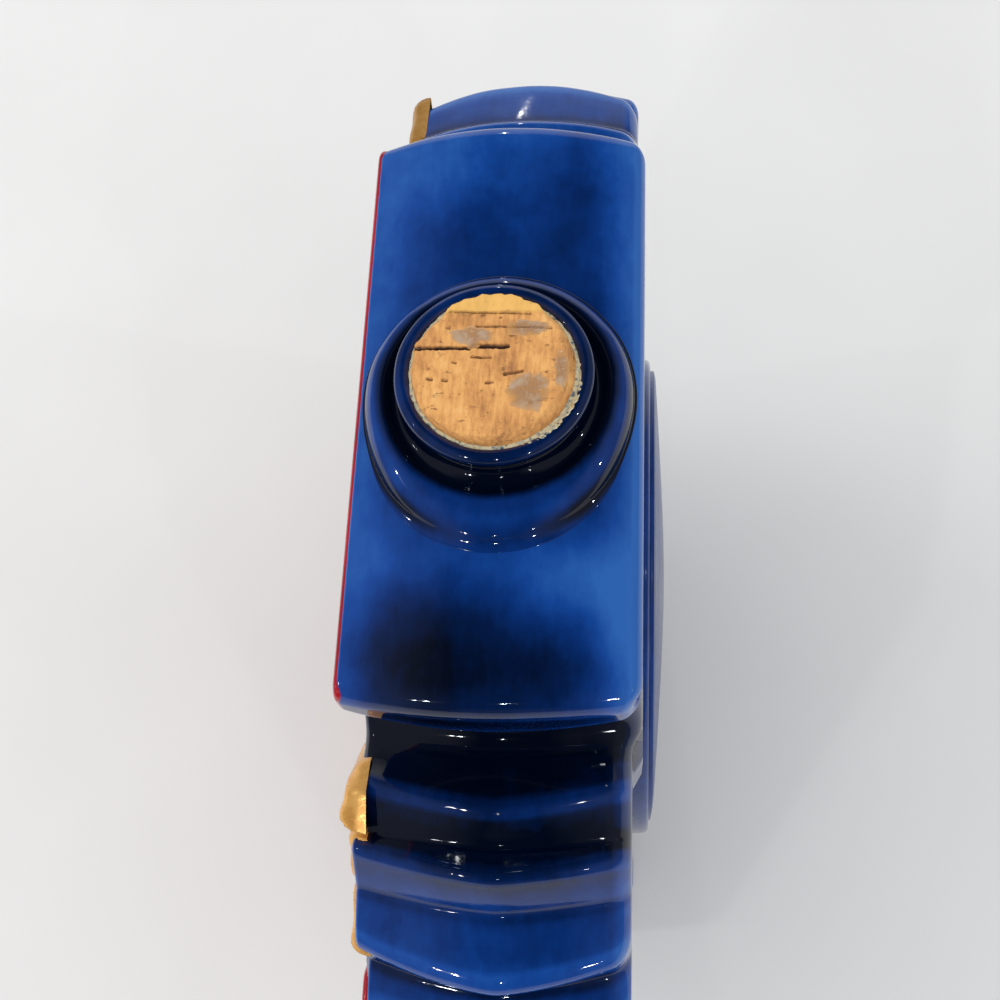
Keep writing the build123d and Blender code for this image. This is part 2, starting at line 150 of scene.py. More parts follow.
# Where the glaze is drawn darker (positive) or lighter: painted shade over the near end of the top arm and
# in the coves, partly glaze run thick there, and painted sheen along the arms' edges; place across, in
# depth and up from the centre, reach each way, and amount
GLAZE_POOLS_PAINTED_SHADE_AND_SHEEN = (
    ((47, -9, 93), (9, 12, 8), 1.25), ((47, 9, 93), (8, 10, 8), 0.8),
    ((37, -7, 93), (7, 10, 8), 0.4), ((-38, 11, 93), (18, 5, 8), 0.4),
    ((-42, -12, 93), (9, 8, 8), -0.35), ((-28, -2, 93), (12, 8, 8), 0.2),
    ((-10, 12, 93), (12, 6, 8), 0.15), ((25, -8, 93), (7, 14, 6), -0.1),
    ((30, 12, 93), (7, 10, 6), -0.7), ((28, -12, 93), (5, 8, 6), -0.15),
    ((0, -21, 94), (60, 4.5, 6), -0.5), ((38, 20, 93), (8, 5, 6), -0.4),
    ((0, 22, 94), (60, 5, 6), -0.75), ((55, 0, 72), (9, 40, 11), 0.9),
    ((66, 0, 69), (4, 40, 6), 0.9), ((73.5, 0, 64), (2.5, 40, 4), -0.15),
    ((90, 0, 60), (4, 30, 4), 0.35), ((-86, 0, 60), (9, 30, 8), -0.4),
)


# Numbers and directions

def lerp(a, b, share):
    return a + (b - a) * share


def smooth_max(a, b, width):
    """The larger of two heights, with a fillet where they cross."""
    near = max(width - abs(a - b), 0) / width
    return max(a, b) + near * near * width / 4


def bump(value, centre, half_width):
    """A smooth hill from 0 to 1 and back round a centre."""
    off = abs(value - centre) / half_width
    return 0.5 + 0.5 * cos(pi * off) if off < 1 else 0.0


def ramp_up(value, start, end):
    """A smooth rise from 0 at the start to 1 at the end."""
    share = min(1.0, max(0.0, (value - start) / (end - start)))
    return share * share * (3 - 2 * share)


def layered_noise(x, y, z, length, layers=3):
    """Noise of about -1 to 1 whose largest lumps have that length."""
    return noise.fractal(Vector((x, y, z)) / length, 1.0, 2.0, layers)


def lumps(x, y, z, length):
    return 0.5 + 0.5 * layered_noise(x, y, z, length, 2)


def directions(columns):
    """Angle, cosine and sine of even steps all the way round."""
    angles = [tau * column / columns for column in range(columns)]
    return [(angle, cos(angle), sin(angle)) for angle in angles]


def arc(steps, turn=pi / 2):
    """Cosine and sine of even steps from 0 to a turn, ends included."""
    angles = [turn * step / steps for step in range(steps + 1)]
    return [(cos(angle), sin(angle)) for angle in angles]


def polar(angle, reach):
    return reach * cos(angle), reach * sin(angle)


def smooth_line(points, steps):
    """A smooth line through points, with that many steps between each pair."""
    ends = [points[0], *points, points[-1]]
    line = []
    for four in zip(ends, ends[1:], ends[2:], ends[3:]):
        for step in range(steps):
            t = step / steps
            line.append(tuple(
                s + ((e - b) * t + (2 * b - 5 * s + 4 * e - a) * t * t + (3 * (s - e) - b + a) * t ** 3) / 2
                for b, s, e, a in zip(*four)
            ))
    return line + [points[-1]]


def glaze_pool_painted_shade_and_sheen(x, y, u):
    """How much darker (painted shade, partly thick glaze) or lighter (painted sheen) the glaze is at a
    place, 0 for a plain coat.
    """
    total = 0.0
    for centre, reach, amount in GLAZE_POOLS_PAINTED_SHADE_AND_SHEEN:
        off = sum(((a - c) / r) ** 2 for a, c, r in zip((x, y, u), centre, reach))
        total += amount * exp(-off)
    return total


def on_front(across, up, proud):
    """A point at places across and up from the centre, seen from the front."""
    return across, -proud, CENTRE_Z + up


def on_back(across, up, proud):
    return -across, proud, CENTRE_Z + up


# Materials

class Shader:
    """Wires the nodes of one material or world."""

    def __init__(self, owner, space="Object"):
        owner.use_nodes = True
        self.owner = owner
        self.tree = owner.node_tree
        self.tree.nodes.clear()
        self.place = self.node("TexCoord").outputs[space]

    def node(self, kind, settings=None, **inputs):
        """Add a node; an underscore in an input's keyword stands for a space."""
        made = self.tree.nodes.new("ShaderNode" + kind)
        for key, value in (settings or {}).items():
            setattr(made, key, value)
        for key, value in inputs.items():
            self.feed(made, key.replace("_", " "), value)
        return made

    def feed(self, node, socket, value):
        """Link an output to a socket, or set a plain value on it."""
        if isinstance(value, bpy.types.NodeSocket):
            self.tree.links.new(value, node.inputs[socket])
        else:
            node.inputs[socket].default_value = value

    def in_order(self, kind, *values, **settings):
        """The output of a new node whose sockets are fed in order."""
        made = self.node(kind, settings)
        for index, value in enumerate(values):
            self.feed(made, index, value)
        return made.outputs[0]

    def along(self, axis):
        return self.node("SeparateXYZ", Vector=self.place).outputs[axis]

    def noise(self, scale, detail=3.0, roughness=0.5, stretch=None):
        place = self.place
        if stretch:
            place = self.node("Mapping", Vector=place, Scale=stretch).outputs[0]
        made = self.node("TexNoise", Vector=place, Scale=scale, Detail=detail, Roughness=roughness)
        return made.outputs[0]

    def math(self, operation, a, b=0.0, clamp=False):
        return self.in_order("Math", a, b, operation=operation, use_clamp=clamp)

    def total(self, *parts):
        """The sum of values, each times its amount."""
        summed = 0.0
        for value, amount in parts:
            summed = self.math("ADD", summed, self.math("MULTIPLY", value, amount))
        return summed

    def spread(self, value, low, high, to_low=0.0, to_high=1.0):
        return self.in_order("MapRange", value, low, high, to_low, to_high)

    def ramp(self, value, *stops):
        made = self.node("ValToRGB", Fac=value)
        elements = made.color_ramp.elements
        while len(elements) < len(stops):
            elements.new(0.5)
        for element, (position, colour) in zip(elements, stops):
            element.position = position
            element.color = (*colour, 1.0)
        return made.outputs[0]

    def mix(self, share, a, b):
        made = self.node("Mix", {"data_type": "RGBA"})
        self.feed(made, 0, share)
        for index, value in ((6, a), (7, b)):
            self.feed(made, index, value if isinstance(value, bpy.types.NodeSocket) else (*value, 1.0))
        return made.outputs[2]

    def attribute(self, name):
        return self.node("Attribute", {"attribute_name": name}).outputs["Fac"]

    def bump(self, height, strength, distance, **under):
        made = self.node("Bump", Height=height, Strength=strength, Distance=distance, **under)
        return made.outputs[0]

    def surface(self, **inputs):
        made = self.node("BsdfPrincipled", **inputs)
        self.node("OutputMaterial", Surface=made.outputs[0])
        return self.owner


def new_shader(name):
    return Shader(bpy.data.materials.new(name))


def cobalt_glaze(name, roughness, specular):
    """Gloss cobalt: near black where it pools, brighter blue where it runs thin; the tone attribute also
    carries painted shade and painted sheen.
    """
    shader = new_shader(name)
    pooling = shader.noise(26.0, 3.0, 0.55)
    mottle = shader.noise(150.0, 4.0, 0.6, (1.0, 1.0, 0.45))
    brushed = shader.noise(620.0, 3.0, 0.6, (0.35, 1.0, 1.0))
    # The attribute holds glaze thinning at edges together with painted shade and painted sheen
    thin_glaze_and_painted_shade = shader.total((shader.attribute("glaze_tone_and_painted_shade"), 0.5), (pooling, 0.4), (mottle, 0.3), (brushed, 0.14))
    colour = shader.ramp(
        shader.math("ADD", thin_glaze_and_painted_shade, 0.09),
        (0.1, (0.0003, 0.002, 0.009)), (0.3, (0.0008, 0.009, 0.05)),
        (0.5, (0.002, 0.024, 0.14)), (0.7, (0.006, 0.052, 0.26)),
        (0.95, (0.022, 0.11, 0.38)),
    )
    peel = shader.bump(shader.noise(700.0, 2.0), 0.04, 0.0002)
    return shader.surface(
        Base_Color=colour,
        Normal=shader.bump(shader.noise(90.0, 2.0), 0.1, 0.0012, Normal=peel),
        Roughness=shader.spread(pooling, 0.3, 0.7, roughness, 2 * roughness),
        IOR=1.52,
        Specular_IOR_Level=specular,
    )


def red_glaze():
    shader = new_shader("red_enamel")
    depth = shader.noise(60.0, 4.0, 0.55)
    colour = shader.ramp(
        depth,
        (0.3, (0.24, 0.003, 0.01)), (0.55, (0.36, 0.005, 0.014)),
        (0.8, (0.46, 0.01, 0.02)),
    )
    return shader.surface(
        Base_Color=colour,
        Normal=shader.bump(shader.noise(420.0, 2.0), 0.12, 0.0003),
        Roughness=shader.spread(depth, 0.3, 0.7, 0.08, 0.18),
        Coat_Weight=0.5,
        Coat_Roughness=0.05,
    )


def gold_lustre():
    """Thin fired gold: slightly satin, and brown on the far fans."""
    shader = new_shader("gold_lustre")
    blotches = shader.noise(150.0, 5.0, 0.6)
    rubbed = shader.noise(520.0, 4.0, 0.65, (1.0, 1.0, 0.5))
    gold = shader.ramp(
        shader.total((blotches, 0.65), (rubbed, 0.35)),
        (0.3, (0.56, 0.25, 0.05)), (0.45, (0.74, 0.37, 0.09)),
        (0.6, (0.84, 0.46, 0.13)), (0.8, (0.88, 0.55, 0.2)),
    )
    browned = shader.spread(shader.along("X"), -0.05, -0.062, 0.0, 0.8)
    return shader.surface(
        Base_Color=shader.mix(browned, gold, (0.36, 0.17, 0.025)),
        Roughness=shader.spread(rubbed, 0.35, 0.7, 0.2, 0.42),
        Normal=shader.bump(rubbed, 0.18, 0.0004),
        Metallic=0.45,
    )


def bare_ceramic():
    """Unglazed body with grainy crumbs, pale with a greenish and a yellowish cast."""
    shader = new_shader("bare_ceramic")
    grains = shader.node("TexVoronoi", Vector=shader.place, Scale=1500.0).outputs["Distance"]
    patches = shader.noise(420.0, 4.0, 0.65)
    base = shader.ramp(
        patches,
        (0.3, (0.02, 0.05, 0.1)), (0.42, (0.16, 0.2, 0.2)),
        (0.52, (0.46, 0.44, 0.32)), (0.64, (0.5, 0.36, 0.13)),
    )
    return shader.surface(
        Base_Color=shader.mix(shader.spread(grains, 0.35, 0.6), base, (0.62, 0.54, 0.34)),
        Normal=shader.bump(grains, 0.6, 0.0003),
        Roughness=shader.spread(patches, 0.3, 0.7, 0.35, 0.8),
    )


def cut_cork():
    """Cork end: tan with fine fibres, brown pores, a paler far strip and painted shade in its cracks."""
    shader = new_shader("cut_cork")
    blotches = shader.noise(190.0, 4.0, 0.6)
    fibres = shader.noise(1500.0, 3.0, 0.6, (0.25, 1.0, 1.0))
    pores = shader.noise(900.0, 3.0, 0.7, (1.0, 0.45, 1.0))
    colour = shader.ramp(
        shader.total((blotches, 0.55), (fibres, 0.45)),
        (0.3, (0.34, 0.14, 0.045)), (0.44, (0.58, 0.26, 0.075)),
        (0.56, (0.76, 0.37, 0.11)), (0.72, (0.84, 0.48, 0.17)),
    )
    far_strip = shader.spread(shader.along("X"), -0.0086, -0.0092, 0.0, 0.7)
    colour = shader.mix(shader.spread(pores, 0.6, 0.72), colour, (0.16, 0.06, 0.025))
    colour = shader.mix(far_strip, colour, (0.86, 0.5, 0.12))
    relief = shader.total((fibres, 1.0), (shader.spread(pores, 0.62, 0.74), -0.8))
    return shader.surface(
        # Painted shade in the cracks
        Base_Color=shader.mix(shader.attribute("painted_crack_shade"), colour, (0.035, 0.01, 0.006)),
        Normal=shader.bump(relief, 0.35, 0.0004),
        Roughness=0.78,
    )


def dried_glue():
    """Old glue film: greyish over the cork's tan, glossy and bumpy."""
    shader = new_shader("dried_glue")
    clouds = shader.noise(380.0, 5.0, 0.65)
    film = shader.ramp(
        clouds,
        (0.3, (0.22, 0.11, 0.06)), (0.48, (0.4, 0.22, 0.11)),
        (0.6, (0.46, 0.3, 0.18)), (0.75, (0.4, 0.32, 0.26)),
    )
    cloudy = shader.spread(clouds, 0.35, 0.55, 0.4, 1.6)
    share = shader.math("MULTIPLY", shader.attribute("film"), cloudy, clamp=True)
    return shader.surface(
        Base_Color=shader.mix(share, (0.64, 0.32, 0.1), film),
        Normal=shader.bump(shader.noise(1100.0, 3.0), 0.5, 0.0004),
        Roughness=shader.spread(clouds, 0.35, 0.65, 0.12, 0.45),
    )


# Each finish: a material and the slot that it fills
GLAZE = (cobalt_glaze("cobalt_glaze", 0.035, 0.5), "blue_glaze")
SATIN_GLAZE = (cobalt_glaze("cobalt_satin", 0.16, 0.25), "blue_glaze")
RED = (red_glaze(), "red_enamel")
GOLD = (gold_lustre(), "gold_lustre")
BARE = (bare_ceramic(), "bare_ceramic")
CORK = (cut_cork(), "cork")
GLUE = (dried_glue(), "dried_glue")


# Meshes

def add_object(name, data):
    made = bpy.data.objects.new(name, data)
    bpy.context.scene.collection.objects.link(made)
    return made


class Form:
    """Points in millimetres, a value at each for the material, and faces."""

    def __init__(self):
        self.points = []
        self.values = []
        self.faces = []

    def add(self, place, value=0.0):
        self.points.append(place)
        self.values.append(value)

    def weave(self, first, columns, closed=True):
        """Quads between the rows of points from the first one on."""
        for start in range(first, len(self.points) - columns, columns):
            for column in range(columns if closed else columns - 1):
                after = (column + 1) % columns
                end = start + columns
                self.faces.append((start + column, start + after, end + after, end + column))

    def close(self, first, columns, place, value=0.0):
        """Triangles from a round row of points to one more point."""
        centre = len(self.points)
        self.add(place, value)
        self.faces += [(centre, first + c, first + (c + 1) % columns) for c in range(columns)]

    def turn(self, profile, columns, place, middle=None):
        """Turn radii and heights about the centre, and close them at a middle height."""
        first = len(self.points)
        for radius, height in profile:
            for _, x, y in directions(columns):
                self.add(place(radius * x, radius * y, height))
        self.weave(first, columns)
        if middle is not None:
            self.close(len(self.points) - columns, columns, place(0, 0, middle))

    def make(self, name, finish, body="decanter", nodes=(), label=None):
        """Make a smooth, riding piece with one material."""
        material, slot = finish
        mesh = bpy.data.meshes.new(name)
        mesh.from_pydata([Vector(point) * MM for point in self.points], [], self.faces)
        work = bmesh.new()
        work.from_mesh(mesh)
        bmesh.ops.recalc_face_normals(work, faces=work.faces)
        work.to_mesh(mesh)
        work.free()
        mesh.polygons.foreach_set("use_smooth", [True] * len(mesh.polygons))
        if label:
            mesh.attributes.new(label, "FLOAT", "POINT").data.foreach_set("value", self.values)
        mesh.materials.append(material)
        piece = add_object(name, mesh)
        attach(piece, body)
        if nodes:
            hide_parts(*nodes)


# Outline of the body: a corner is a place, a radius, its share in the fan, its swell and its sag

def runs(ring):
    """Each point of a closed ring with the next one."""
    return zip(ring, ring[1:] + ring[:1])


def neighbours(ring):
    """Each point of a closed ring between the ones before and after it."""
    return zip(ring[-1:] + ring[:-1], ring, ring[1:] + ring[:1])


def fan_edge():
    neck_side = ARM_HALF_WIDTH - UNDERCUT_DEPTH
    underside = ARM_REACH - ARM_END_WALL - UNDERCUT_DROP
    return [
        (lerp(neck_side, SIDE_ARM_REACH, across_share), lerp(ARM_HALF_WIDTH, underside, up_share))
        for across_share, up_share, *_ in FAN_CORNERS
    ]


def body_corners():
    end_foot = ARM_REACH - ARM_END_WALL
    undercut = (ARM_HALF_WIDTH - UNDERCUT_DEPTH, end_foot - UNDERCUT_DROP)
    quarter = [
        (ARM_HALF_WIDTH, ARM_REACH, ARM_CORNER_RADIUS, 0.0, 0.0, 0.0),
        (ARM_HALF_WIDTH, end_foot, ARM_LIP_RADIUS, 0.0, 0.0, 0.0),
        (*undercut, ARM_LIP_RADIUS, 1.0, 0.0, 0.0),
    ]
    quarter += [(*place, radius, 1.0, *bow) for place, (_, _, radius, *bow) in zip(fan_edge(), FAN_CORNERS)]
    quarter.append((SIDE_ARM_REACH, ARM_HALF_WIDTH, ARM_CORNER_RADIUS, 0.0, 0.0, 0.0))
    ring = []
    for side, up in ((1, 1), (1, -1), (-1, -1), (-1, 1)):
        points = [(side * x, up * u, *rest) for x, u, *rest in quarter]
        ring += points if side == up else points[::-1]
    return ring


def corner_turns(ring):
    """Each corner between its neighbours, with the heading into it and its turn."""
    for before, here, after in neighbours(ring):
        into = atan2(here[1] - before[1], here[0] - before[0])
        out = atan2(after[1] - here[1], after[0] - here[0])
        yield before, here, after, into, remainder(out - into, tau)


def inset_corners(ring, inset):
    moved = []
    for _, (x, u, *rest), _, into, turn in corner_turns(ring):
        heading = into + turn / 2
        reach = inset / cos(turn / 2)
        moved.append((x + reach * sin(heading), u - reach * cos(heading), *rest))
    return moved


def rounded(ring):
    """A ring with arcs at its corners; each point ends with how sharply it bends."""
    points = []
    for before, (x, u, radius, *rest), after, into, turn in corner_turns(ring):
        slope = tan(abs(turn) / 2)
        room = CORNER_ROOM_SHARE * min(dist((x, u), before[:2]), dist((x, u), after[:2]))
        tangent = min(radius * slope, room)
        bow = copysign(tangent / slope, turn)
        centre_x = x - tangent * cos(into) - bow * sin(into)
        centre_u = u - tangent * sin(into) + bow * cos(into)
        bend = -max(-1.0, min(1.0, turn))
        for step in range(CORNER_STEPS + 1):
            heading = into + turn * step / CORNER_STEPS
            points.append((centre_x + bow * sin(heading), centre_u - bow * cos(heading), *rest, bend))
    return points


def drawn_ring(corners, inset):
    """An outline at an inset, cut up as at no inset; bends fade along its runs."""
    counts = [max(1, round(dist(a[:2], b[:2]) / RUN_STEP)) for a, b in runs(rounded(corners))]
    ring = []
    for (a, b), count in zip(runs(rounded(inset_corners(corners, inset))), counts):
        for step in range(count):
            share = step / count
            place = [lerp(p, q, share) for p, q in zip(a[:-1], b[:-1])]
            fade = abs(1 - 2 * share) ** 4 if count > 1 else 1.0
            ring.append((*place, fade * (a[-1] if share < 0.5 else b[-1])))
    return ring


def softened(ring):
    """The ring with its fan corners eased."""
    for _ in range(SOFTENING):
        eased = []
        for before, here, after in neighbours(ring):
            place = [lerp(here[i], (before[i] + after[i]) / 2, 0.5 * here[2]) for i in (0, 1)]
            eased.append((*place, *here[2:]))
        ring = eased
    return ring


def outline_rings():
    """The body's outline, and how its points move per millimetre of inset."""
    base, drawn = (softened(drawn_ring(body_corners(), inset)) for inset in (0, CROWN))
    return base, [((d[0] - b[0]) / CROWN, (d[1] - b[1]) / CROWN) for b, d in zip(base, drawn)]


# Surface of the body

def front_level(x, u):
    """How far the glazed front face stands from the mould seam."""
    past_arm = ramp_up(abs(u), *PAST_ARM)
    tier = TIER_RISE * (past_arm if u > 0 else 0.0) * ramp_up(x, *ON_TIER)
    return BODY_FRONT + tier - SIDE_FRONT_SET_IN * ramp_up(abs(x), *ON_SIDE_END) * (1 - past_arm)


def back_level(x, u):
    """How far the back face does, which is lower behind and below the rays."""
    beside = ramp_up(abs(x), *BESIDE_ON_BACK)
    return BACK_DEPTH - lerp(LOWER_BACK_SET_IN, RAY_BACK_SET_IN * beside, ramp_up(u, *HIGH_ON_BACK))


def crown(y, fan):
    """How far the side is drawn in at a depth: an arc, nearer a ridge on the fans."""
    share = abs(y) / (FRONT_DEPTH if y < 0 else BACK_DEPTH)
    ridge = sqrt(share * share + CROWN_RIDGE_ROUNDING) - sqrt(CROWN_RIDGE_ROUNDING)
    return CROWN * lerp(share * share, ridge, SEAM_SHARE * fan)


def edge_rows(level, facing, edge):
    """Depth, extra inset and roundness of the rows over a face's edge."""
    rows = [(facing * level, edge + FACE_MARGIN, 0.2)]
    for cosine, sine in arc(EDGE_STEPS):
        rows.append((facing * (level - edge * (1 - cosine)), edge * (1 - sine), 2 * sine * cosine))
    return rows


def side_rows(x, u, fan):
    """The same for all rows from the front face to the back's."""
    on_first_ray = ramp_up(x, *ON_FIRST_RAY) * (1 - ramp_up(x, *OFF_FIRST_RAY))
    front_edge = lerp(ARM_FRONT_EDGE, lerp(TIER_FRONT_EDGE, FAN_FRONT_EDGE, on_first_ray), fan)
    back_edge = lerp(BACK_EDGE, FAN_BACK_EDGE, fan)
    front_rows = edge_rows(front_level(x, u), -1, front_edge)
    back_rows = edge_rows(back_level(x, u), 1, back_edge)[::-1]
    start, end = front_rows[-1][0], back_rows[0][0]
    side = [(lerp(start, end, step / SIDE_STEPS), 0.0, 0.0) for step in range(1, SIDE_STEPS)]
    return front_rows + side + back_rows


def inner_grid(loop):
    """Rows of flat points inside a closed loop, clear of its edge."""
    found = []
    row = min(point.y for point in loop) + GRID_STEP
    highest = max(point.y for point in loop)
    while row < highest:
        crossings = sorted(
            a.x + (row - a.y) / (b.y - a.y) * (b.x - a.x)
            for a, b in runs(loop) if (a.y - row) * (b.y - row) < 0
        )
        for start, end in zip(crossings[::2], crossings[1::2]):
            count = int((end - start) / GRID_STEP)
            found += [Vector((lerp(start, end, index / count), row)) for index in range(1, count)]
        row += GRID_STEP
    return found


def fill_face(form, first, columns, facing, level):
    """Close a face of the body with fine triangles that follow a level."""
    loop = [Vector((x, z - CENTRE_Z)) for x, _, z in form.points[first:first + columns]]
    rim = [list(range(columns))]
    places, _, triangles, sources = delaunay_2d_cdt(loop + inner_grid(loop), [], rim, 1, 1e-7)[:4]
    numbers = []
    for place, source in zip(places, sources):
        if source and source[0] < columns:
            numbers.append(first + source[0])
            continue
        numbers.append(len(form.points))
        depth = facing * level(place.x, place.y)
        # Face points take the pools' painted shade and painted sheen as their glaze tone
        form.add((place.x, depth, CENTRE_Z + place.y), -glaze_pool_painted_shade_and_sheen(place.x, depth, place.y))
    form.faces += [tuple(numbers[corner] for corner in triangle) for triangle in triangles]


def decanter_body():
    """The cast body as one glazed skin: crowned sides, softened edges and faces."""
    form = Form()
    base, moves = outline_rings()
    columns = len(base)
    profiles = [side_rows(x, u, fan) for x, u, fan, *_ in base]
    rows = len(profiles[0])
    for row in range(rows):
        on_side = 0.0 if row in (0, rows - 1) else 1.0
        for profile, (x, u, fan, swell, sag, bend), (move_x, move_u) in zip(profiles, base, moves):
            y, extra, roundness = profile[row]
            wave = WAVE_DEPTH * lerp(ARM_WAVE_SHARE, 1.0, fan) * lumps(x, y, u, WAVE_LENGTH)
            ripple = RIPPLE_DEPTH * lumps(x, y, u, RIPPLE_LENGTH)
            inset = crown(y, fan if x > 0 else 0.0) + extra + on_side * max(wave + ripple, 0)
            bow_share, power = NEAR_BOW if x > 0 else FAR_BOW
            outward = (swell - sag * (abs(y) / BACK_DEPTH) ** power) * bow_share
            across = x + copysign(1, x) * outward + move_x * inset
            # Edges and outline corners run thin; the pools add painted shade and painted sheen to this tone
            thin_glaze_and_painted_shade = EDGE_WEAR * (roundness + bend) - glaze_pool_painted_shade_and_sheen(x, y, u)
            form.add((across, y, CENTRE_Z + u + move_u * inset), max(-1.0, min(1.0, thin_glaze_and_painted_shade)))
    form.weave(0, columns)
    fill_face(form, 0, columns, -1, front_level)
    fill_face(form, (rows - 1) * columns, columns, 1, back_level)
    form.make("decanter_body", GLAZE, nodes=("front_shell", "back_shell"), label="glaze_tone_and_painted_shade")


# Neck: radius and height from the rim, from inside the mouth over the lip to the throat
LIP_POINTS = (
    (12.8, -2.4), (12.85, -1.4), (12.98, -0.75), (13.25, -0.32), (13.7, -0.1), (14.2, -0.06), (14.72, -0.25),
    (15.12, -0.62), (15.3, -1.15), (15.26, -1.8), (15.05, -2.4), (14.72, -2.9), (14.52, -3.2),
)
LIP_STEPS = 3
THROAT_RADIUS = 14.5
THROAT_TOP = -3.3
THROAT_FOOT = -4.7
THROAT_RIDGE = 0.14
THROAT_RIDGE_PITCH = 0.62
THROAT_ROWS = 20
LIP_WOBBLE = 0.05
LIP_WOBBLE_ROOM = 0.03

# Shoulder: a hollow round the throat, then a dome that is longer towards the right-hand arm
HOLLOW_RADIUS = 16.3
HOLLOW_DEPTH = 1.25
DOME_TOP = -5.35
DOME_CREST_SHARE = 0.3
DOME_NEAR = 24.9
DOME_FAR = 20.3
DOME_SIDE = 21.2
DOME_SINK = 0.35
DOME_FILLET_NEAR = 3.6
DOME_FILLET_SIDE = 0.8
DOME_WOBBLE = 0.09
DOME_ROWS = 52
SKIRT_DEPTH = 0.8
NECK_COLUMNS = 192


def block_height(y):
    """Height of the top arm's crowned end from the rim."""
    return BLOCK_TOP - crown(y, 0.0)


def dome_edge(x, y):
    """Distance from the neck's axis to the shoulder's foot in a direction."""
    length = lerp(DOME_FAR, DOME_NEAR, ramp_up(x, -0.8, 0.8))
    return 1 / hypot(x / length, y / DOME_SIDE)


def dome_fillet(x):
    """Width of the fillet at the shoulder's foot: wide on the near side only."""
    return lerp(DOME_FILLET_SIDE, DOME_FILLET_NEAR, ramp_up(x, 0.4, 1.0))


def dome_height(radius, x, y):
    """Height of the shoulder, and how far out a place is from crest to foot."""
    edge = dome_edge(x, y)
    crest = lerp(HOLLOW_RADIUS, edge, DOME_CREST_SHARE)
    along = max(0.0, (radius - crest) / (edge - crest))
    fall = DOME_TOP - block_height(edge * y) + DOME_SINK
    height = DOME_TOP - fall * (1 - sqrt(max(0.0, 1 - along ** 2.2))) - 2 * max(0.0, radius - edge)
    inward = (crest - radius) / (crest - THROAT_RADIUS)
    height += 15 * max(0.0, inward - 0.8) ** 2 - HOLLOW_DEPTH * bump(inward, 0.55, 0.6)
    return smooth_max(height, block_height(radius * y), dome_fillet(x)), along


def neck_piece():
    """Rolled lip, ridged throat and a domed shoulder that dies into the top arm."""
    form = Form()
    profile = smooth_line(LIP_POINTS, LIP_STEPS)
    for step in range(1, THROAT_ROWS):
        height = lerp(THROAT_TOP, THROAT_FOOT, step / THROAT_ROWS)
        ridge = 0.5 - 0.5 * cos(tau * (height - THROAT_TOP) / THROAT_RIDGE_PITCH)
        profile.append((THROAT_RADIUS + THROAT_RIDGE * ridge, height))
    for radius, height in profile:
        # Lighter on the rim's top; painted shade under the lip's roll and down the throat
        glaze_tone_and_painted_shade = 0.1 * bump(height, -0.3, 0.5) - 0.4 - 0.8 * ramp_up(-height, 1.0, 2.6)
        for _, x, y in directions(NECK_COLUMNS):
            wobble = LIP_WOBBLE * layered_noise(4 * x, 4 * y, height, 3.0, 2)
            reach = radius + wobble
            form.add((x * reach, y * reach, RIM_Z + height + wobble * 0.6 - LIP_WOBBLE_ROOM), glaze_tone_and_painted_shade)
    for row in range(DOME_ROWS + 1):
        for _, x, y in directions(NECK_COLUMNS):
            outer = dome_edge(x, y) + dome_fillet(x) / 2
            radius = lerp(THROAT_RADIUS, outer, (row / DOME_ROWS) ** 0.85)
            height, along = dome_height(radius, x, y)
            height += DOME_WOBBLE * layered_noise(radius * x, radius * y, 0, 6.0, 2)
            # Painted shade in the hollow round the throat and along the shoulder's foot, partly glaze pooled
            # there
            hollow = 1 - ramp_up(radius, HOLLOW_RADIUS + 0.6, HOLLOW_RADIUS + 3.4)
            crease = lerp(0.9, 0.1, ramp_up(x, 0.8, 1.0)) * bump(along, 1.0, 0.28)
            glaze_tone_and_painted_shade = 0.12 * bump(along, 0.55, 0.3) - 0.02 - 1.1 * hollow - crease
            form.add((radius * x, radius * y, RIM_Z + height), glaze_tone_and_painted_shade)
    for _, x, y in directions(NECK_COLUMNS):
        skirt = dome_edge(x, y) + dome_fillet(x) / 2 + 0.1
        # The skirt under the shoulder's foot carries painted shade
        form.add((skirt * x, skirt * y, RIM_Z + block_height(skirt * y) - SKIRT_DEPTH), -0.6)
    form.weave(0, NECK_COLUMNS)
    form.make("neck_glazed", GLAZE, nodes=("neck",), label="glaze_tone_and_painted_shade")


# Bare, grainy band between the cork and the lip's glaze, widest towards the near right
BAND_COLUMNS = 260
BAND_ROWS = 14
BAND_WIDE_ANGLE = radians(55)
BAND_UNDER_CORK = 1.4
BAND_WIDTH = 0.25
BAND_WIDENING = 1.5
BAND_RAGGEDNESS = 0.28
BAND_GRAIN = 0.12
BAND_FILL = -0.6


def lip_height(radius):
    """Height of the lip's upper side at a radius."""
    for (r0, h0), (r1, h1) in zip(LIP_POINTS, LIP_POINTS[1:]):
        if r0 <= radius <= r1:
            return lerp(h0, h1, (radius - r0) / (r1 - r0))
    return LIP_POINTS[2][1]


def towards_near_right(angle):
    return max(0.0, cos(angle - BAND_WIDE_ANGLE))


def mouth_band_piece():
    form = Form()
    for row in range(BAND_ROWS + 1):
        share = row / BAND_ROWS
        for angle, x, y in directions(BAND_COLUMNS):
            ragged = BAND_RAGGEDNESS * layered_noise(9 * x, 9 * y, 3.0, 1.6)
            width = BAND_WIDTH + BAND_WIDENING * towards_near_right(angle) ** 4 + ragged
            radius = lerp(CORK_RADIUS - BAND_UNDER_CORK, CORK_RADIUS + width, share)
            grain = BAND_GRAIN * layered_noise(x * radius, y * radius, 7.0, 0.7)
            lip = lip_height(radius) + 0.03 if radius > LIP_POINTS[2][0] else -0.8
            height = smooth_max(lip, BAND_FILL, 0.2) + grain * (1 - share ** 6) - 0.12 * share ** 8
            form.add((x * radius, y * radius, RIM_Z + height))
    form.weave(0, BAND_COLUMNS)
    form.make("mouth_band_bare", BARE, nodes=("mouth_band",))


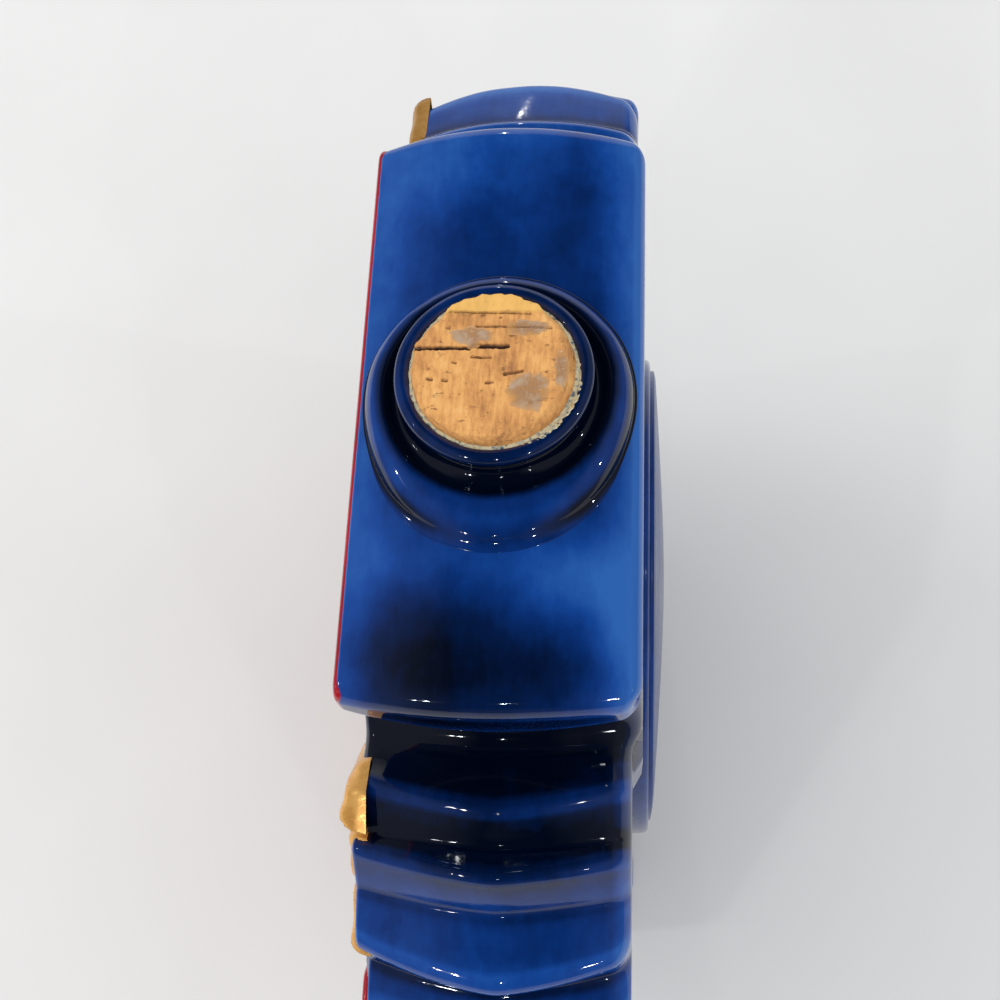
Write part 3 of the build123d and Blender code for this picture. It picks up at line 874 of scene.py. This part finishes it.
# Cork: the ends, half width and depth of each crack in its broken top
CRACKS = (
    ((-2.9, -12.4), (-2.8, -3.4), 0.34, 0.8), ((-3.15, -3.0), (-3.1, 2.3), 0.4, 0.7),
    ((-1.3, -3.2), (-1.2, -0.2), 0.2, 0.35), ((-6.6, -2.6), (-6.2, 8.8), 0.2, 0.4),
    ((-9.1, -6.8), (-8.7, 5.6), 0.16, 0.35), ((1.6, 2.0), (1.1, 4.6), 0.3, 0.4),
    ((2.4, -9.6), (2.5, -9.0), 0.32, 0.5), ((2.6, -7.3), (2.7, -6.7), 0.25, 0.4),
    ((-0.5, -6.0), (-0.4, -5.5), 0.22, 0.35), ((3.0, -0.8), (2.9, 0.3), 0.22, 0.35),
    ((6.4, 6.0), (5.6, 8.4), 0.22, 0.3),
)
# Chips out of its rim: direction in degrees from the near side, half width, depth
CORK_CHIPS = ((228, 20, 0.9), (246, 8, 0.5), (134, 18, 1.0), (112, 9, 0.6), (20, 12, 0.3))
CORK_COLUMNS = 300
CORK_ROWS = 84
CORK_SIDE_ROWS = 12
CORK_TOP_SINK = 0.32
CORK_RIM_SHARE = 0.94
CORK_EDGE_INSET = 0.5
LEDGE_X = -9.0
LEDGE_RISE = 0.22


def crack_depth(x, y):
    deepest = 0.0
    wander = 0.12 * noise.noise(Vector((x, y, 1.0)) * 1.3)
    for (x0, y0), (x1, y1), half_width, depth in CRACKS:
        length = hypot(x1 - x0, y1 - y0)
        along = ((x - x0) * (x1 - x0) + (y - y0) * (y1 - y0)) / length
        aside = abs((x - x0) * (y1 - y0) - (y - y0) * (x1 - x0)) / length
        off = hypot(aside + wander, max(-along, along - length, 0)) / half_width
        if off < 1:
            deepest = max(deepest, depth * (1 - off ** 3))
    return deepest


def cork_height(x, y):
    """Height of the cork's broken top, a little below its flat solid."""
    rough = 0.16 * layered_noise(x, y, 2.0, 3.2, 4) + 0.07 * layered_noise(x, y, 9.0, 0.7)
    ledge = LEDGE_RISE if x < LEDGE_X else 0.0
    return rough + ledge - CORK_TOP_SINK - crack_depth(x, y)


def cork_edge(angle):
    x, y = polar(angle, 8)
    chips = 0.55 * layered_noise(x, y, 5.0, 1.9, 5)
    worn = towards_near_right(angle)
    for direction, half_width, depth in CORK_CHIPS:
        worn += depth * bump(degrees(angle), direction, half_width)
    return CORK_RADIUS - CORK_EDGE_INSET - worn - max(-0.2, chips)


def cork_piece():
    form = Form()
    for row in range(1, CORK_ROWS + 1):
        share = (row / CORK_ROWS) ** 0.9
        drop = CORK_EDGE_INSET * max(0.0, share - CORK_RIM_SHARE) / (1 - CORK_RIM_SHARE)
        for angle, x, y in directions(CORK_COLUMNS):
            radius = share * cork_edge(angle)
            x, y = radius * x, radius * y
            place = (x, y, CORK_TOP_Z + cork_height(x, y) - drop * drop * 0.5)
            # Painted shade in the cracks, darker the deeper they are
            form.add(place, min(1.0, crack_depth(x, y) * 1.6))
    for row in range(1, CORK_SIDE_ROWS + 1):
        height = lerp(CORK_TOP_Z - 0.7, CORK_FOOT_Z, row / CORK_SIDE_ROWS)
        for _, x, y in directions(CORK_COLUMNS):
            radius = min(CORK_RADIUS, CORK_RADIUS - 0.2 + 0.16 * layered_noise(8 * x, 8 * y, height, 2.0))
            form.add((x * radius, y * radius, height))
    form.weave(0, CORK_COLUMNS)
    form.close(0, CORK_COLUMNS, (0.0, 0.0, CORK_TOP_Z + cork_height(0, 0)))
    last = (CORK_ROWS + CORK_SIDE_ROWS - 1) * CORK_COLUMNS
    form.close(last, CORK_COLUMNS, (0.0, 0.0, CORK_FOOT_Z))
    form.make("cork_broken", CORK, "cork", ("cork_plug",), "painted_crack_shade")


# Dried glue on the cork: centre, half sizes and film thickness of each patch
GLUE_PATCHES = (
    ((-4.9, -3.2), (1.7, 3.6), 0.16), ((-6.3, 5.2), (1.4, 3.8), 0.14),
    ((4.4, 5.6), (3.6, 3.3), 0.16), ((0.6, 10.4), (3.4, 1.3), 0.26),
)
GLUE_COLUMNS = 72
GLUE_ROWS = 22
GLUE_RAGGEDNESS = 0.32


def glue_piece():
    """Patches of film that sink into the cork's broken top at their rims."""
    form = Form()
    for (cx, cy), (half_x, half_y), thickness in GLUE_PATCHES:
        first = len(form.points)
        for row in range(1, GLUE_ROWS + 1):
            share = row / GLUE_ROWS
            for _, x, y in directions(GLUE_COLUMNS):
                ragged = 1 + GLUE_RAGGEDNESS * layered_noise(2 * x + cx, 2 * y + cy, 0, 1.3)
                px = cx + x * half_x * share * ragged
                py = cy + y * half_y * share * ragged
                film = thickness * (1 - share ** 4) * (0.75 + 0.6 * layered_noise(px, py, 4, 0.9))
                height = CORK_TOP_Z + cork_height(px, py) * 0.75 - 0.05 + film - 0.12 * share ** 10
                form.add((px, py, min(height, GLUE_TOP_Z)), 1 - share ** 3)
        form.weave(first, GLUE_COLUMNS)
        form.close(first, GLUE_COLUMNS, (cx, cy, CORK_TOP_Z + cork_height(cx, cy) + thickness), 1.0)
    form.make("glue_film", GLUE, "cork", ("glue_residue",), "film")


# Red panels of the arms and the gold lines on them
PANEL_INNER_HALF_WIDTH = 19.0
PANEL_FROM_RING = 2.4
PANEL_EDGE = 0.9
PANEL_INSET = CROWN + 0.4
PANEL_STEPS = 5
BORDER_INSET = 4.2
BORDER_HALF_WIDTH = 0.75
BORDER_HEIGHT = 0.55
BORDER_STEPS = 8


def panel_corners(reach):
    outer = ARM_HALF_WIDTH - PANEL_INSET
    end_foot = reach - ARM_END_WALL + CROWN / 2
    right_side = [
        (outer, reach - PANEL_INSET, ARM_CORNER_RADIUS - CROWN / 2),
        (outer, end_foot, ARM_LIP_RADIUS),
        (outer - UNDERCUT_DEPTH, end_foot - UNDERCUT_DROP, ARM_LIP_RADIUS),
        (PANEL_INNER_HALF_WIDTH, RING_RADIUS + PANEL_FROM_RING, VALLEY_RADIUS),
    ]
    return right_side + [(-x, *rest) for x, *rest in right_side[::-1]]


def panel_form(reach, quarter_turns, levels):
    """A row round an arm's panel at each inset and height, and a row's length."""
    form = Form()
    for inset, height in levels:
        ring = drawn_ring(panel_corners(reach), inset)
        for x, u, _ in ring:
            for _ in range(quarter_turns):
                x, u = u, -x
            form.add(on_front(x, u, height))
    form.weave(0, len(ring))
    return form, len(ring)


def arm_panel_piece(node, reach, quarter_turns):
    """A red arm face with a rounded edge and a flat field."""
    levels = [(0.0, FRONT_DEPTH - 0.3)]
    levels += [(PANEL_EDGE * (1 - x), PANEL_FACE - PANEL_EDGE * (1 - y)) for x, y in arc(PANEL_STEPS)]
    levels.append((PANEL_EDGE + FACE_MARGIN, PANEL_FACE))
    form, columns = panel_form(reach, quarter_turns, levels)
    for first in (0, len(form.points) - columns):
        loop = [Vector((x, z, 0)) for x, _, z in form.points[first:first + columns]]
        form.faces += [tuple(first + index for index in corner) for corner in tessellate_polygon([loop])]
    form.make(node + "_enamel", RED, nodes=(node,))


def panel_border_piece(name, reach, quarter_turns):
    """A thin raised gold line that runs round inside the panel's edge."""
    levels = [
        (BORDER_INSET - BORDER_HALF_WIDTH * x, PANEL_FACE - 0.1 + BORDER_HEIGHT * y)
        for x, y in arc(BORDER_STEPS, pi)
    ]
    panel_form(reach, quarter_turns, levels)[0].make(name, GOLD)


# Gold rays: how far each is set back on the near and the far side, and the rise of its corners
RAY_SETBACKS = {1: (2.1, 4.6, 7.0), -1: (2.1, 2.6, 2.8)}
RAY_RISES = (
    (0.15, 0.3, 0.66, 1.0, 0.9),
    (0.9, 0.65, 0.58, 0.58, 0.9),
    (0.9, 0.6, 0.66, 0.6, 0.5),
)
RAY_GAP = 0.7
RAY_FROM_RING = 3.4
RAY_FOOT_DEPTH = 0.9
RAY_FACE_ROOM = 0.25
RAY_ROUNDING = 2.2
RAY_RIBS = 3
RAY_RIB_DEPTH = 0.12
RAY_ROWS = 36
RAY_COLUMNS = 32
FIRST_RAY_SHARE = 0.5


def ray_corners(shoulders_and_tip, distance):
    """The corners of one ray's foot: inner left, left, tip, right, inner right."""
    seen = [(atan2(u, x), hypot(x, u)) for x, u in shoulders_and_tip]
    inner_left, _, inner_right = (polar(angle, RING_RADIUS + RAY_FROM_RING) for angle, _ in seen)
    outer = [polar(angle, radius - distance) for angle, radius in seen]
    return inset_corners([inner_left, *outer, inner_right], RAY_GAP / 2)


def edge_distance(place, corners):
    """How far a place inside a ring is from its nearest side."""
    return min(abs((place - a).cross((b - a).normalized())) for a, b in runs(corners))


def add_ray(form, corners, rises, side, up):
    """One ribbed gold ray with rounded edges and a blunt outer end."""
    inner_left, left, tip, right, inner_right = (Vector((*c, rise)) for c, rise in zip(corners, rises))
    flat = [Vector(corner) for corner in corners]
    full = RAY_FACE - FRONT_DEPTH - RAY_FACE_ROOM
    first = len(form.points)
    for row in range(RAY_ROWS + 1):
        along = 0.5 - 0.5 * cos(pi * row / RAY_ROWS)
        for column in range(RAY_COLUMNS + 1):
            across = -cos(pi * column / RAY_COLUMNS)
            inner = inner_left.lerp(inner_right, (across + 1) / 2)
            outer = tip.lerp(left if across < 0 else right, abs(across))
            place = inner.lerp(outer, along).xy
            rise = full * lerp(inner.z, outer.z, along ** 2)
            near = min(1.0, edge_distance(place, flat) / RAY_ROUNDING)
            rib = RAY_RIB_DEPTH * cos(pi * RAY_RIBS * across)
            wave = 0.12 * layered_noise(place.x, place.y, 1.0, 4.0)
            height = (RAY_FOOT_DEPTH + rise + rib + wave) * sqrt(max(0.0, 1 - (1 - near) ** 2))
            form.add(on_front(side * place.x, up * place.y, FRONT_DEPTH - RAY_FOOT_DEPTH + height))
    form.weave(first, RAY_COLUMNS + 1, closed=False)


def ray_fan_piece(node, side, up):
    form = Form()
    edge = fan_edge()
    for index in (0, 2):
        edge[index] = [lerp(a, b, FIRST_RAY_SHARE) for a, b in zip(edge[index], edge[index + 1])]
    for index, (rises, distance) in enumerate(zip(RAY_RISES, RAY_SETBACKS[side])):
        add_ray(form, ray_corners(edge[2 * index:2 * index + 3], distance), rises, side, up)
    form.make(node + "_gilt", GOLD, nodes=(node,))


# Roundel on the front and medallion on the back
FOOT_OVERLAP = 0.2
ROUNDEL_EDGE = 0.6
ROUNDEL_DISH = 0.25
ROUNDEL_ROWS = 24
ROUNDEL_COLUMNS = 160
RING_STEPS = 12
RING_COLUMNS = 200
RING_FOOT_SHARE = 0.35
BEAD_RADIUS = 1.1
BEADS = 48
BEAD_ROWS = 7
BEAD_COLUMNS = 14
LEAVES = 22
LEAF_LENGTH = 9.0
LEAF_WIDTH = 4.4
LEAF_TILT = radians(28)
WREATH_RADIUS = ROUNDEL_RADIUS - 9.0
PETALS = 8
PETAL_LENGTH = ROUNDEL_RADIUS - 19.5
PETAL_WIDTH = 7.6
LEAF_ROWS = 18
LEAF_COLUMNS = 12
BOSS_RADIUS = 4.6
BOSS_COLUMNS = 48
MEDALLION_WALL = 2.0
MEDALLION_LEAN = 0.025
MEDALLION_LEAN_START = 12.0
MEDALLION_ROWS = 40
MEDALLION_FOOT = BACK_DEPTH - LOWER_BACK_SET_IN - 0.4


def roundel_piece():
    """A round plate with a rounded edge and a slightly dished field."""
    field = ROUNDEL_RADIUS - ROUNDEL_EDGE
    profile = [(ROUNDEL_RADIUS, FRONT_DEPTH - FOOT_OVERLAP)]
    profile += [(field + ROUNDEL_EDGE * x, ROUNDEL_FACE - ROUNDEL_EDGE * (1 - y)) for x, y in arc(8)]
    for row in range(1, ROUNDEL_ROWS):
        share = 1 - row / ROUNDEL_ROWS
        profile.append((field * share, ROUNDEL_FACE - ROUNDEL_DISH * (1 - share ** 2) ** 2))
    form = Form()
    form.turn(profile, ROUNDEL_COLUMNS, on_front, ROUNDEL_FACE - ROUNDEL_DISH)
    form.make("roundel_field", GLAZE, nodes=("roundel_disc",))


def ring_form(inner, outer, foot, top, place):
    """A rounded ring from its inner foot over the top to the outer foot."""
    middle = (inner + outer) / 2
    half = (outer - inner) / 2
    profile = [(inner, foot)]
    for x, y in arc(RING_STEPS, pi):
        profile.append((middle - half * x, lerp(foot, top, lerp(RING_FOOT_SHARE, 1.0, y ** 0.6))))
    form = Form()
    form.turn(profile + [(outer, foot)], RING_COLUMNS, place)
    return form


def roundel_ring_piece():
    bead_foot = RING_FACE - BEAD_RADIUS
    form = ring_form(ROUNDEL_RADIUS, RING_RADIUS, FRONT_DEPTH - FOOT_OVERLAP, bead_foot, on_front)
    bead = [(BEAD_RADIUS * x, bead_foot + BEAD_RADIUS * y) for x, y in arc(BEAD_ROWS)[:-1]]
    for angle, _, _ in directions(BEADS):
        bead_x, bead_u = polar(angle, (ROUNDEL_RADIUS + RING_RADIUS) / 2)
        form.turn(bead, BEAD_COLUMNS, lambda x, u, h: on_front(bead_x + x, bead_u + u, h), RING_FACE)
    form.make("roundel_ring_beaded", GOLD, nodes=("roundel_ring",))


def add_leaf(form, origin, heading, length, width, height, groove):
    """One pointed, domed leaf with a sunk midrib."""
    first = len(form.points)
    direction = Vector(polar(heading, 1.0))
    across = Vector((-direction.y, direction.x))
    for row in range(LEAF_ROWS + 1):
        share = row / LEAF_ROWS
        swell = sin(pi * share)
        half = width / 2 * swell ** 0.8
        for column in range(LEAF_COLUMNS + 1):
            side = 2 * column / LEAF_COLUMNS - 1
            place = Vector(origin) + direction * (length * share) + across * (half * side)
            dome = height * (1 - abs(side) ** 2.2) * swell ** 0.5
            rib = groove * exp(-(side / 0.16) ** 2) * swell
            form.add(on_front(place.x, place.y, ROUNDEL_FACE - 0.15 + dome - rib))
    form.weave(first, LEAF_COLUMNS + 1, closed=False)


def laurel_piece():
    """Leaves in a running wreath, tilted outwards and inwards by turns."""
    form = Form()
    for index, (angle, _, _) in enumerate(directions(LEAVES)):
        heading = angle + pi / 2 + (LEAF_TILT if index % 2 else -LEAF_TILT)
        add_leaf(form, polar(angle, WREATH_RADIUS), heading, LEAF_LENGTH, LEAF_WIDTH, 1.35, 0.35)
    form.make("laurel_leaves", GOLD, nodes=("laurel_wreath",))


def rosette_piece():
    """Domed petals round a boss with a dimpled middle."""
    form = Form()
    for heading, _, _ in directions(PETALS):
        add_leaf(form, (0, 0), heading, PETAL_LENGTH, PETAL_WIDTH, 1.6, 0.3)
    boss = (
        (BOSS_RADIUS, ROUNDEL_FACE),
        (BOSS_RADIUS, ROUNDEL_FACE + 1.2),
        (4.0, ROSETTE_FACE - 0.25),
        (2.9, ROSETTE_FACE),
        (1.7, ROSETTE_FACE - 0.45),
        (0.9, ROSETTE_FACE - 0.25),
        (0.05, ROSETTE_FACE - 0.1),
    )
    form.turn(smooth_line(boss, 4), BOSS_COLUMNS, on_front)
    form.make("rosette_petals", GOLD, nodes=("rosette",))


def on_leaning_back(across, up, proud):
    """A point of the back medallion, which sinks a little towards its lower side."""
    return on_back(across, up, proud - MEDALLION_LEAN * max(0.0, MEDALLION_LEAN_START - up))


def medallion_piece():
    """The plain back medallion: a wall with a softened edge and a low dome."""
    wall_top = BACK_DEPTH + MEDALLION_WALL
    profile = [(MEDALLION_RADIUS, MEDALLION_FOOT), (MEDALLION_RADIUS, BACK_DEPTH + 0.45 * MEDALLION_WALL)]
    for row in range(MEDALLION_ROWS):
        share = 1 - ((row + 0.4) / MEDALLION_ROWS) ** 1.3
        level = lerp(MEDALLION_FACE, wall_top, share ** 1.35)
        profile.append((MEDALLION_RADIUS * share, level - 0.25 * max(0.0, share - 0.96) / 0.04))
    form = Form()
    form.turn(profile, RING_COLUMNS, on_leaning_back, MEDALLION_FACE)
    form.make("back_medallion_field", SATIN_GLAZE, nodes=("back_medallion",))


def medallion_ring_piece():
    form = ring_form(MEDALLION_RADIUS, MEDALLION_RING_RADIUS, MEDALLION_FOOT, MEDALLION_RING_FACE, on_back)
    form.make("back_medallion_rim", GLAZE, nodes=("back_medallion_ring",))


# The object

decanter_body()
neck_piece()
mouth_band_piece()
cork_piece()
glue_piece()
ARMS = (("top", ARM_REACH), ("right", SIDE_ARM_REACH), ("bottom", ARM_REACH), ("left", SIDE_ARM_REACH))
for turns, (arm, arm_reach) in enumerate(ARMS):
    arm_panel_piece("arm_panel_" + arm, arm_reach, turns)
    panel_border_piece("arm_border_" + arm, arm_reach, turns)
QUARTERS = (("upper_right", 1, 1), ("lower_right", 1, -1), ("lower_left", -1, -1), ("upper_left", -1, 1))
for quarter, quarter_side, quarter_up in QUARTERS:
    ray_fan_piece("ray_fan_" + quarter, quarter_side, quarter_up)
roundel_piece()
roundel_ring_piece()
laurel_piece()
rosette_piece()
medallion_piece()
medallion_ring_piece()
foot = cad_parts["foot_ring"]
foot.data.materials.clear()
foot.data.materials.append(BARE[0])

# Camera: above the near end of the top arm, looking steeply down and a little left
CAMERA_PLACE = Vector((0.1050, 0.0233, 0.3970))
CAMERA_YAW = 90 + 14.29
CAMERA_TILT = 90 - 66.62
CAMERA_ROLL = -12.9
CAMERA_LENS = 54.0

# Floor and lamps, in metres: each spot's place and width; its power grows with its area
FLOOR_HALF = 4.0
SPOT_SIZE = 0.024
SPOT_POWER = 0.4
SPOTS = (
    ((-1.25, -0.13, 0.78), 0.024), ((-1.25, -0.13, 0.9), 0.024),
    ((0.9, -0.6, 1.1), 0.024), ((0.9, -0.5, 1.1), 0.042),
    ((0.95, 0.55, 1.0), 0.034), ((0.85, 0.0, 1.05), 0.024),
    ((0.1, -1.1, 1.1), 0.034), ((0.1, 1.1, 0.9), 0.034),
)


def add_camera():
    camera = add_object("camera", bpy.data.cameras.new("camera"))
    camera.data.lens = CAMERA_LENS
    placed = Matrix.Translation(CAMERA_PLACE)
    for angle, axis in ((CAMERA_YAW, "Z"), (CAMERA_TILT, "X"), (CAMERA_ROLL, "Z")):
        placed = placed @ Matrix.Rotation(radians(angle), 4, axis)
    camera.matrix_world = placed
    bpy.context.scene.camera = camera


def add_floor():
    shader = new_shader("pale_floor")
    colour = shader.ramp(
        shader.noise(9.0, 3.0),
        (0.3, (0.76, 0.745, 0.72)), (0.7, (0.8, 0.785, 0.76)),
    )
    corners = [(FLOOR_HALF * x, FLOOR_HALF * y, 0) for x, y in ((-1, -1), (1, -1), (1, 1), (-1, 1))]
    mesh = bpy.data.meshes.new("floor")
    mesh.from_pydata(corners, [], [(0, 1, 2, 3)])
    mesh.materials.append(shader.surface(Base_Color=colour, Roughness=0.6))
    floor = add_object("floor", mesh)


def add_lamp(name, place, power, size, colour=(1, 1, 1)):
    data = bpy.data.lights.new(name, "AREA")
    data.energy = power
    data.color = colour
    data.shape = "DISK"
    data.size = size
    lamp = add_object(name, data)
    lamp.location = place
    aim = Vector((0, 0, CENTRE_Z * MM)) - Vector(place)
    lamp.rotation_euler = aim.to_track_quat("-Z", "Y").to_euler()
    return lamp


def add_lights():
    soft = add_lamp("soft_left", (-0.35, -1.2, 0.95), 4.6, 0.9)
    soft.visible_glossy = False
    for index, (place, size) in enumerate(SPOTS):
        power = SPOT_POWER * (size / SPOT_SIZE) ** 2
        add_lamp(f"spot_{index}", place, power, size, (0.92, 0.96, 1.0))


def add_world():
    """Even room light; mirrored in the glaze it is dark, and pale at the sides and far end."""
    world = bpy.data.worlds.new("room")
    bpy.context.scene.world = world
    shader = Shader(world, "Generated")
    sides = shader.spread(shader.math("ABSOLUTE", shader.along("Y")), 0.22, 0.5, 0.01, 0.2)
    far_end = shader.spread(shader.along("X"), -0.78, -0.9, 0.0, 0.8)
    near_end = shader.spread(shader.along("X"), 0.9, 1.0, 0.0, 0.12)
    pale = shader.math("MAXIMUM", shader.math("MAXIMUM", sides, far_end), near_end)
    seen = shader.mix(pale, (0.005, 0.006, 0.008), (1.0, 1.03, 1.1))
    room, light, wall = (
        shader.node("Background", Color=colour, Strength=strength).outputs[0]
        for colour, strength in ((seen, 1.0), ((0.95, 0.97, 1.0, 1.0), 0.92), ((0.8, 0.79, 0.77, 1.0), 1.0))
    )
    path = shader.node("LightPath").outputs
    gloss = shader.math("MAXIMUM", path["Is Glossy Ray"], path["Is Transmission Ray"])
    lit = shader.in_order("MixShader", gloss, light, room)
    shown = shader.in_order("MixShader", path["Is Camera Ray"], lit, wall)
    shader.node("OutputWorld", Surface=shown)


add_camera()
add_floor()
add_lights()
add_world()
bpy.context.scene.view_settings.view_transform = "Standard"
